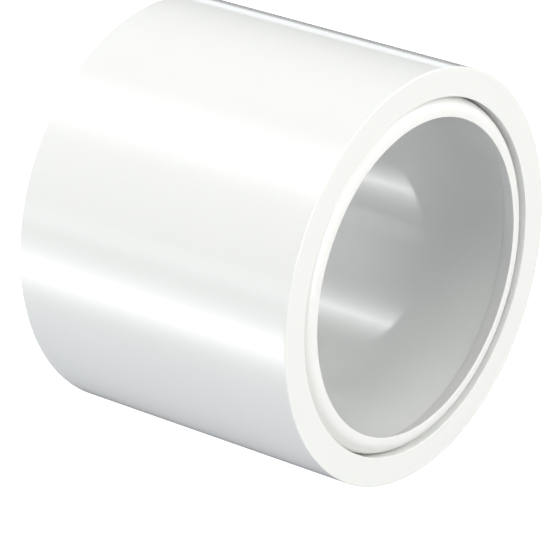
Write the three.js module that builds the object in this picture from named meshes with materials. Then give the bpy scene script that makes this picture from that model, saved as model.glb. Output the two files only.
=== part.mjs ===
// Push-fit reducer between a 50 mm and a 40 mm plastic waste pipe, in two pieces.
//
// reducer_body  the moulded body: its outside is the 50 mm spigot, its inside is the 40 mm socket
// lip_seal      the rubber ring in the mouth of the socket, which grips and seals the 40 mm pipe
//
// Millimetres. X is the axis of the bore and +X looks out of the mouth. The origin is on the
// axis, half way along the body. Both pieces are bodies of revolution around X, so each one is
// an outline of radius and position along the axis, turned once round.

import * as THREE from "three";

// Driving dimensions of the body
const SPIGOT_DIAMETER = 50;
const BODY_LENGTH = 39.2;
const SOCKET_DIAMETER = 40.3;
const SOCKET_DEPTH = 35; // from the mouth face to the pipe stop
const STOP_THICKNESS = 1.5;
const PORT_DIAMETER = 34.8; // the way through the pipe stop
const RECESS_DIAMETER = 43.4; // the hollow behind the pipe stop, open at the back
const OUTER_EDGE_ROUND = 0.15;

// The seat of the seal, cut into the mouth face. Depths are measured from that face.
const SEAT_DIAMETER = 43;
const SNAP_LIP_DEPTH = 2; // the seat is narrowest down to here, and holds the seal's foot in
const CHANNEL_DIAMETER = 44.6;
const CHANNEL_DEPTH = 4.2;
const FENCE_DEPTH = 2.2; // top of the low wall between the channel and the bore
const FENCE_THICKNESS = 0.8;

// Driving dimensions of the seal
const SEAL_CLEARANCE = 0.05; // play all round the seal in its seat
const SEAL_SETBACK = 0.05; // the mouth face stands this far proud of the seal
const LIP_DIAMETER = 38.1; // smaller than the pipe, so that the lip stretches over it
const LIP_THROAT_DIAMETER = 40.2; // the lip's inside opens out to this at its back
const SHOULDER_RADIUS = 1.8;

const SEGMENTS = 96;
const ARC_STEPS = 6;

const MOUTH = BODY_LENGTH / 2;
const BACK = -BODY_LENGTH / 2;
const QUARTER_TURN = Math.PI / 2;

/** A point of an outline: its distance from the axis and its position along it. */
function point(radius, along) {
  return new THREE.Vector2(radius, along);
}

/** A quarter of a circle of an outline, turning left from the angle start. */
function quarterRound(centre, radius, start) {
  const points = [];
  for (let step = 0; step <= ARC_STEPS; step += 1) {
    const angle = start + (QUARTER_TURN * step) / ARC_STEPS;
    const offset = point(radius * Math.cos(angle), radius * Math.sin(angle));
    points.push(centre.clone().add(offset));
  }
  return points;
}

/** Turns a closed outline, listed with its material on the left, once round the X axis. */
function turnedPiece(name, outline, material) {
  const geometry = new THREE.LatheGeometry([...outline, outline[0].clone()], SEGMENTS);
  const mesh = new THREE.Mesh(geometry, material);
  mesh.name = name;
  mesh.rotation.z = -QUARTER_TURN; // a lathe turns around Y
  return mesh;
}

/** The moulded body: the seat of the seal, the socket, the pipe stop and the recess behind it. */
function reducerBody() {
  const spigotRadius = SPIGOT_DIAMETER / 2;
  const seatRadius = SEAT_DIAMETER / 2;
  const channelRadius = CHANNEL_DIAMETER / 2;
  const socketRadius = SOCKET_DIAMETER / 2;
  const portRadius = PORT_DIAMETER / 2;
  const recessRadius = RECESS_DIAMETER / 2;
  const stopFront = MOUTH - SOCKET_DEPTH;
  const stopBack = stopFront - STOP_THICKNESS;
  const fenceRadius = socketRadius + FENCE_THICKNESS;
  const edgeRadius = spigotRadius - OUTER_EDGE_ROUND;
  const snapSlope = channelRadius - seatRadius;

  const backEdge = quarterRound(
    point(edgeRadius, BACK + OUTER_EDGE_ROUND), OUTER_EDGE_ROUND, -QUARTER_TURN);
  const mouthEdge = quarterRound(
    point(edgeRadius, MOUTH - OUTER_EDGE_ROUND), OUTER_EDGE_ROUND, 0);
  const sealSeat = [
    point(seatRadius, MOUTH),
    point(seatRadius, MOUTH - SNAP_LIP_DEPTH),
    point(channelRadius, MOUTH - SNAP_LIP_DEPTH - snapSlope),
    point(channelRadius, MOUTH - CHANNEL_DEPTH),
    point(fenceRadius, MOUTH - CHANNEL_DEPTH),
    point(fenceRadius, MOUTH - FENCE_DEPTH),
  ];
  const socket = [
    point(socketRadius, MOUTH - FENCE_DEPTH),
    point(socketRadius, stopFront),
  ];
  const pipeStop = [
    point(portRadius, stopFront),
    point(portRadius, stopBack),
  ];
  const recess = [
    point(recessRadius, stopBack),
    point(recessRadius, BACK),
  ];
  const plastic = new THREE.MeshStandardMaterial({
    color: 0xf7f8f4, roughness: 0.25, metalness: 0 });
  const outline = [...backEdge, ...mouthEdge, ...sealSeat, ...socket, ...pipeStop, ...recess];
  return turnedPiece("reducer_body", outline, plastic);
}

/** The rubber ring: a lip and round shoulder in front, and a foot that snaps into the channel. */
function lipSeal() {
  const front = MOUTH - SEAL_SETBACK;
  const lipRadius = LIP_DIAMETER / 2;
  const throatRadius = LIP_THROAT_DIAMETER / 2;
  const sideRadius = SEAT_DIAMETER / 2 - SEAL_CLEARANCE;
  const footRadius = CHANNEL_DIAMETER / 2 - SEAL_CLEARANCE;
  const footInnerRadius = SOCKET_DIAMETER / 2 + FENCE_THICKNESS + SEAL_CLEARANCE;
  const underside = MOUTH - FENCE_DEPTH + SEAL_CLEARANCE;
  const footStart = MOUTH - SNAP_LIP_DEPTH - SEAL_CLEARANCE;
  const footEnd = MOUTH - CHANNEL_DEPTH + SEAL_CLEARANCE;
  const snapSlope = footRadius - sideRadius;

  const foot = [
    point(footInnerRadius, underside),
    point(footInnerRadius, footEnd),
    point(footRadius, footEnd),
    point(footRadius, footStart - snapSlope),
    point(sideRadius, footStart),
  ];
  const shoulder = quarterRound(
    point(sideRadius - SHOULDER_RADIUS, front - SHOULDER_RADIUS), SHOULDER_RADIUS, 0);
  const lip = [
    point(lipRadius, front),
    point(throatRadius, underside),
  ];
  const rubber = new THREE.MeshStandardMaterial({
    color: 0xf8f8f4, roughness: 0.35, metalness: 0 });
  return turnedPiece("lip_seal", [...foot, ...shoulder, ...lip], rubber);
}

const reducer = new THREE.Group();
reducer.add(reducerBody(), lipSeal());

export default reducer;
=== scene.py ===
"""The looks of the push-fit pipe reducer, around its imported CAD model.

Each CAD node is a faceted body of revolution around X. Here it is turned again from the same
outline, with fine segments and small moulded rounds on its corners, and given its material.
"""

import math

import bpy
from mathutils import Matrix, Vector


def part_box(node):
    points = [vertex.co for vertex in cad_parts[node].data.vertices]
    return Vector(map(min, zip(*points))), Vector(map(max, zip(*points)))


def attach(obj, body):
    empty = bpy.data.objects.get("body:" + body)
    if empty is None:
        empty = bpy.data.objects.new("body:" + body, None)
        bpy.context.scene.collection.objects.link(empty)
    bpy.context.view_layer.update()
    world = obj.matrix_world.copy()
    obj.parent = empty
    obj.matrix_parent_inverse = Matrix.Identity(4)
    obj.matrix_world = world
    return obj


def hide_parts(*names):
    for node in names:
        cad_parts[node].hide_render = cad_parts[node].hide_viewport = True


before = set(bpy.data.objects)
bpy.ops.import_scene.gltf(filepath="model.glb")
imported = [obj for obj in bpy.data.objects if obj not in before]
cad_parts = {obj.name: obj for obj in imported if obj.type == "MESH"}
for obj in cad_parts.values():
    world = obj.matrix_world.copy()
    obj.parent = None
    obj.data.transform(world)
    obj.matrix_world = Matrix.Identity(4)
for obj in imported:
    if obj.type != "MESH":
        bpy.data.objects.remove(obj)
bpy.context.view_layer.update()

MM = 0.001
BODY_LOW, BODY_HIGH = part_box("reducer_body")
BODY_RADIUS = BODY_HIGH.z
MOUTH_CENTRE = Vector((BODY_HIGH.x, 0, 0))
FLOOR_LEVEL = BODY_LOW.z

# Fineness of the turned meshes
TURN_SEGMENTS = 320
RING_SPACING = 1.6 * MM
SUPPORT_OFFSET = 0.05 * MM
ARC_STEPS = 6
SHALLOW_BEND = math.radians(35)  # a CAD arc's own corners bend less than this
SHORTEST_RUN = 0.001 * MM

# Rounds on the moulded corners
BODY_CORNER_RADIUS = 0.05 * MM
SEAL_CORNER_RADIUS = 0.06 * MM

# The camera, looking at the mouth. Distance and offsets are in radii of the body.
CAMERA_AZIMUTH, CAMERA_ELEVATION = 38.1, 23.9
CAMERA_LENS, CAMERA_SENSOR = 253.9, 36.0
CAMERA_DISTANCE = 18.2
MOUTH_RIGHT_OF_CENTRE = 0.640
MOUTH_ABOVE_CENTRE = 0.007

# The studio, in metres
FLOOR_HALF_WIDTH = 6.0
STRIP_DISTANCE = 0.59
STRIP_FADE = 3  # 1 fades evenly from the middle line to the edges, more gives a sharper middle
WARM = (1, 0.985, 0.93)
NEUTRAL = (1, 1, 1)
COOL = (0.94, 0.96, 1)


# --- Turned meshes ----------------------------------------------------------------------------

def cad_outline(node):
    """The closed outline of a CAD node of revolution, as (x, radius) vectors, read off its mesh."""
    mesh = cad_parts[node].data

    def key(vertex):
        return (round(vertex.co.x / SHORTEST_RUN), round(vertex.co.z / SHORTEST_RUN))

    def on_half_plane(vertex):
        return abs(vertex.co.y) < SHORTEST_RUN and vertex.co.z > 0

    places = {}
    neighbours = {}
    for edge in mesh.edges:
        ends = [mesh.vertices[index] for index in edge.vertices]
        if not all(on_half_plane(end) for end in ends):
            continue
        first, second = (key(end) for end in ends)
        if first == second:
            continue
        for end in ends:
            places[key(end)] = Vector((end.co.x, end.co.z))
        neighbours.setdefault(first, set()).add(second)
        neighbours.setdefault(second, set()).add(first)

    start = min(places)
    loop = [start]
    step = min(neighbours[start])
    while step != start:
        loop.append(step)
        step = next(place for place in neighbours[step] if place != loop[-2])
    outline = [places[place] for place in loop]
    return outline if signed_area(outline) > 0 else outline[::-1]


def signed_area(outline):
    """Positive where the outline runs anticlockwise in x and radius."""
    pairs = zip(outline, outline[1:] + outline[:1])
    return sum(a.x * b.y - b.x * a.y for a, b in pairs) / 2


def rounded(outline, corner_radius):
    """The outline with an arc on every corner, so that it has no kinks."""
    points = []
    count = len(outline)
    for index, corner in enumerate(outline):
        before = outline[index - 1] - corner
        after = outline[(index + 1) % count] - corner
        bend = math.pi - before.angle(after)
        room = min(before.length, after.length) / 2
        reach = min(corner_radius * math.tan(bend / 2), room)
        if bend < SHALLOW_BEND:
            reach = room
        start = corner + before.normalized() * reach
        end = corner + after.normalized() * reach
        points += arc(start, corner, end)
    return points


def arc(start, corner, end):
    """Points of the smooth curve from start to end that leaves and arrives along the corner's sides."""
    weight = math.cos(((corner - start).angle(end - corner)) / 2)
    points = []
    for step in range(ARC_STEPS + 1):
        t = step / ARC_STEPS
        shares = ((1 - t) ** 2, 2 * t * (1 - t) * weight, t ** 2)
        total = sum(shares)
        points.append((start * shares[0] + corner * shares[1] + end * shares[2]) / total)
    return points


def spaced(outline):
    """The outline with support points by its corners and even rings along its straight runs."""
    points = []
    count = len(outline)
    for index, here in enumerate(outline):
        run = outline[(index + 1) % count] - here
        if run.length < SHORTEST_RUN:
            continue
        points.append(here)
        if run.length < 4 * SUPPORT_OFFSET:
            continue
        along = run.normalized()
        middle = run.length - 2 * SUPPORT_OFFSET
        rings = max(1, round(middle / RING_SPACING))
        for ring in range(rings + 1):
            points.append(here + along * (SUPPORT_OFFSET + middle * ring / rings))
    return points


def turned(name, outline):
    """A smooth mesh of the outline turned once round X."""
    vertices = []
    for segment in range(TURN_SEGMENTS):
        angle = 2 * math.pi * segment / TURN_SEGMENTS
        for point in outline:
            vertices.append((point.x, point.y * math.cos(angle), point.y * math.sin(angle)))
    count = len(outline)
    faces = []
    for segment in range(TURN_SEGMENTS):
        here = segment * count
        there = (segment + 1) % TURN_SEGMENTS * count
        for index in range(count):
            following = (index + 1) % count
            faces.append((here + index, here + following, there + following, there + index))
    mesh = bpy.data.meshes.new(name)
    mesh.from_pydata(vertices, [], faces)
    mesh.shade_smooth()
    mesh.validate()
    piece = bpy.data.objects.new(name, mesh)
    bpy.context.scene.collection.objects.link(piece)
    return piece


def fine_piece(name, node, corner_radius, material):
    """A finely turned piece that stands for a CAD node."""
    piece = turned(name, spaced(rounded(cad_outline(node), corner_radius)))
    piece.data.materials.append(material)
    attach(piece, "root")
    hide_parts(node)


# --- Materials --------------------------------------------------------------------------------

class Nodes:
    """A material's node tree, with a short way to add and join nodes."""

    def __init__(self, name):
        self.material = bpy.data.materials.new(name)
        self.material.use_nodes = True
        self.tree = self.material.node_tree
        self.shader = self.tree.nodes["Principled BSDF"]

    def add(self, kind, **settings):
        node = self.tree.nodes.new(kind)
        for setting, value in settings.items():
            if hasattr(node, setting):
                setattr(node, setting, value)
            else:
                node.inputs[setting].default_value = value
        return node

    def join(self, source, output, target, socket):
        self.tree.links.new(source.outputs[output], target.inputs[socket])

    def noise(self, scale_per_metre, detail):
        """Noise in the object's own metres."""
        place = self.add("ShaderNodeTexCoord")
        noise = self.add("ShaderNodeTexNoise", Scale=scale_per_metre, Detail=detail)
        self.join(place, "Object", noise, "Vector")
        return noise

    def clouds(self, noise, dark, light):
        """A base colour that drifts between two tones."""
        tone = self.add("ShaderNodeMix", data_type="RGBA")
        tone.inputs["A"].default_value = (*dark, 1)
        tone.inputs["B"].default_value = (*light, 1)
        self.join(noise, "Fac", tone, "Factor")
        self.join(tone, "Result", self.shader, "Base Color")

    def polish(self, noise, glossiest, dullest):
        """A roughness that follows the noise's middle range."""
        remap = self.add("ShaderNodeMapRange")
        remap.inputs["From Min"].default_value = 0.3
        remap.inputs["From Max"].default_value = 0.7
        remap.inputs["To Min"].default_value = glossiest
        remap.inputs["To Max"].default_value = dullest
        self.join(noise, "Fac", remap, "Value")
        self.join(remap, "Result", self.shader, "Roughness")

    def bump(self, noise, distance):
        """A faint relief of the surface."""
        relief = self.add("ShaderNodeBump", Strength=0.05, Distance=distance)
        self.join(noise, "Fac", relief, "Height")
        self.join(relief, "Normal", self.shader, "Normal")


def white_plastic():
    """Glossy white polypropylene: faint flow clouds, uneven polish and orange peel."""
    nodes = Nodes("white_plastic")
    nodes.shader.inputs["IOR"].default_value = 1.49
    nodes.clouds(nodes.noise(90, detail=3), (0.735, 0.742, 0.728), (0.752, 0.758, 0.747))
    nodes.polish(nodes.noise(260, detail=4), 0.03, 0.06)
    nodes.bump(nodes.noise(1500, detail=2), 0.008 * MM)
    return nodes.material


def white_rubber():
    """Smooth white seal rubber: a softer shine than the body, with a fine even grain.

    Its roughness stays above about 0.27, because the denoiser draws blotches where it crosses that.
    """
    nodes = Nodes("white_rubber")
    nodes.shader.inputs["IOR"].default_value = 1.52
    nodes.clouds(nodes.noise(140, detail=3), (0.745, 0.747, 0.735), (0.762, 0.763, 0.753))
    nodes.polish(nodes.noise(700, detail=3), 0.30, 0.36)
    nodes.bump(nodes.noise(3000, detail=2), 0.003 * MM)
    return nodes.material


def pale_floor():
    """A white sheet that glows a little, so that it stays white and takes only faint shadows."""
    nodes = Nodes("pale_floor")
    nodes.shader.inputs["Base Color"].default_value = (0.35, 0.35, 0.35, 1)
    nodes.shader.inputs["Roughness"].default_value = 0.9
    nodes.shader.inputs["Specular IOR Level"].default_value = 0.1
    nodes.shader.inputs["Emission Color"].default_value = (0.98, 0.99, 1, 1)
    nodes.shader.inputs["Emission Strength"].default_value = 0.87
    return nodes.material


# --- The studio -------------------------------------------------------------------------------

def make_floor():
    """Shows the object's shadow, and leaves the object's own light to the lamps and the world."""
    reach = FLOOR_HALF_WIDTH
    corners = [(-reach, -reach), (reach, -reach), (reach, reach), (-reach, reach)]
    mesh = bpy.data.meshes.new("floor")
    mesh.from_pydata([(x, y, FLOOR_LEVEL) for x, y in corners], [], [(0, 1, 2, 3)])
    mesh.materials.append(pale_floor())
    floor = bpy.data.objects.new("floor", mesh)
    floor.visible_diffuse = False
    floor.visible_glossy = False
    floor.visible_shadow = False
    bpy.context.scene.collection.objects.link(floor)


def direction(azimuth, elevation):
    """From the object towards the camera. Azimuth 0 is the side at -Y, 90 is at +X."""
    a, e = math.radians(azimuth), math.radians(elevation)
    return Vector((math.sin(a) * math.cos(e), -math.cos(a) * math.cos(e), math.sin(e)))


def make_camera():
    """Looks at the mouth from the side and above, with a long lens."""
    back = direction(CAMERA_AZIMUTH, CAMERA_ELEVATION)
    turn = back.to_track_quat("Z", "Y")
    right = turn @ Vector((1, 0, 0))
    up = turn @ Vector((0, 1, 0))
    offset = back * CAMERA_DISTANCE - right * MOUTH_RIGHT_OF_CENTRE - up * MOUTH_ABOVE_CENTRE

    camera = bpy.data.objects.new("camera", bpy.data.cameras.new("camera"))
    camera.data.lens = CAMERA_LENS
    camera.data.sensor_width = CAMERA_SENSOR
    camera.data.clip_start = 0.01
    camera.data.clip_end = 20
    camera.rotation_mode = "QUATERNION"
    camera.rotation_quaternion = turn
    camera.location = MOUTH_CENTRE + offset * BODY_RADIUS
    bpy.context.scene.collection.objects.link(camera)
    bpy.context.scene.camera = camera


def softbox(name, towards, distance, size, power, colour):
    """A rectangular lamp that looks back at the object."""
    towards = towards.normalized()
    lamp_box(name, towards * distance, towards, size, power, colour)


def strip_lamp(name, angle, spread, ends, power):
    """A lamp parallel to the bore, with soft long edges.

    Its angle around the bore is 0 level at -Y and 90 overhead. Its spread is the angle that it
    fills, and its ends are its range of x.
    """
    around = Vector((0, -math.cos(math.radians(angle)), math.sin(math.radians(angle))))
    middle = Vector((sum(ends) / 2, 0, 0)) + around * STRIP_DISTANCE
    width = 2 * STRIP_DISTANCE * math.tan(math.radians(spread) / 2)
    strip = lamp_box(name, middle, around, (ends[1] - ends[0], width), power, NEUTRAL)
    soften_edges(strip.data)


def lamp_box(name, middle, facing, size, power, colour):
    """A rectangular lamp. Its light leaves against the direction facing.

    Its first side is in line with the bore, or level where the lamp itself looks along the bore.
    """
    bore = Vector((1, 0, 0))
    along_bore = abs(facing.dot(bore)) > 0.999
    line = Vector((0, 1, 0)) if along_bore else bore
    side = (line - facing * line.dot(facing)).normalized()
    lamp = bpy.data.lights.new(name, "AREA")
    lamp.shape = "RECTANGLE"
    lamp.size, lamp.size_y = size
    lamp.energy = power
    lamp.color = colour
    box = bpy.data.objects.new(name, lamp)
    box.location = middle
    box.rotation_mode = "QUATERNION"
    box.rotation_quaternion = Matrix((side, facing.cross(side), facing)).transposed().to_quaternion()
    box.visible_camera = False
    bpy.context.scene.collection.objects.link(box)
    return box


def soften_edges(lamp):
    """Makes a lamp brightest along its middle line, with a steep fade to its two long edges."""
    lamp.use_nodes = True
    nodes = lamp.node_tree.nodes
    place = nodes.new("ShaderNodeNewGeometry")
    split = nodes.new("ShaderNodeSeparateXYZ")
    from_middle = nodes.new("ShaderNodeMath")
    from_middle.operation = "SUBTRACT"
    from_middle.inputs[1].default_value = 0.5
    distance = nodes.new("ShaderNodeMath")
    distance.operation = "ABSOLUTE"
    closeness = nodes.new("ShaderNodeMapRange")
    closeness.inputs["From Max"].default_value = 0.5
    closeness.inputs["To Min"].default_value = 1
    closeness.inputs["To Max"].default_value = 0
    fade = nodes.new("ShaderNodeMath")
    fade.operation = "POWER"
    fade.inputs[1].default_value = STRIP_FADE

    links = lamp.node_tree.links
    links.new(place.outputs["Parametric"], split.inputs["Vector"])
    links.new(split.outputs["Y"], from_middle.inputs[0])
    links.new(from_middle.outputs["Value"], distance.inputs[0])
    links.new(distance.outputs["Value"], closeness.inputs["Value"])
    links.new(closeness.outputs["Result"], fade.inputs[0])
    links.new(fade.outputs["Value"], nodes["Emission"].inputs["Strength"])


def make_world():
    """White at the horizon, where a low camera sees past the floor, and dimmer above and below."""
    world = bpy.data.worlds.new("studio")
    world.use_nodes = True
    nodes = world.node_tree.nodes
    background = nodes["Background"]
    background.inputs["Color"].default_value = (0.9, 0.94, 1, 1)
    place = nodes.new("ShaderNodeTexCoord")
    split = nodes.new("ShaderNodeSeparateXYZ")
    height = nodes.new("ShaderNodeMapRange")
    height.inputs["From Min"].default_value = -1
    height.inputs["From Max"].default_value = 1

    # Straight down is height 0, level is 0.5 and straight up is 1.
    below, horizon, above = 0.18, 1.12, 0.33
    levels = nodes.new("ShaderNodeValToRGB")
    bottom, top = levels.color_ramp.elements
    bottom.color = (below, below, below, 1)
    top.color = (above, above, above, 1)
    for position, level in ((0.45, below), (0.47, horizon), (0.53, horizon), (0.56, above)):
        levels.color_ramp.elements.new(position).color = (level, level, level, 1)

    links = world.node_tree.links
    links.new(place.outputs["Generated"], split.inputs["Vector"])
    links.new(split.outputs["Z"], height.inputs["Value"])
    links.new(height.outputs["Result"], levels.inputs["Fac"])
    links.new(levels.outputs["Color"], background.inputs["Strength"])
    bpy.context.scene.world = world


def light_object():
    """Two long strips for the bands of light along the body, and soft boxes all round.

    Light from below the floor reaches the object, because the floor casts no shadow.
    """
    strip_lamp("lower_strip", -29.5, 56, (-0.96, -0.36), 9.8)
    strip_lamp("upper_strip", 65.5, 56, (-0.9, -0.3), 9.8)
    softbox("along_bore", Vector((1, 0, 0)), 1.2, (0.15, 0.15), 7.4, WARM)
    softbox("front", Vector((0.9, -0.1, 0.45)), 0.7, (0.4, 0.3), 1.4, WARM)
    softbox("right_back", Vector((0.5, 0.6, 0.6)), 0.7, (0.4, 0.4), 1.6, NEUTRAL)
    softbox("top_left", Vector((0, -0.5, 0.85)), 0.7, (0.5, 0.3), 3.1, WARM)
    softbox("below", Vector((0, -0.3, -1)), 0.7, (0.4, 0.4), 2.6, COOL)
    softbox("below_left", Vector((-0.2, -0.8, -0.6)), 0.7, (0.4, 0.4), 0.95, NEUTRAL)


fine_piece("moulded_body", "reducer_body", BODY_CORNER_RADIUS, white_plastic())
fine_piece("rubber_lip_seal", "lip_seal", SEAL_CORNER_RADIUS, white_rubber())
make_floor()
make_camera()
make_world()
light_object()
bpy.context.scene.view_settings.view_transform = "Standard"
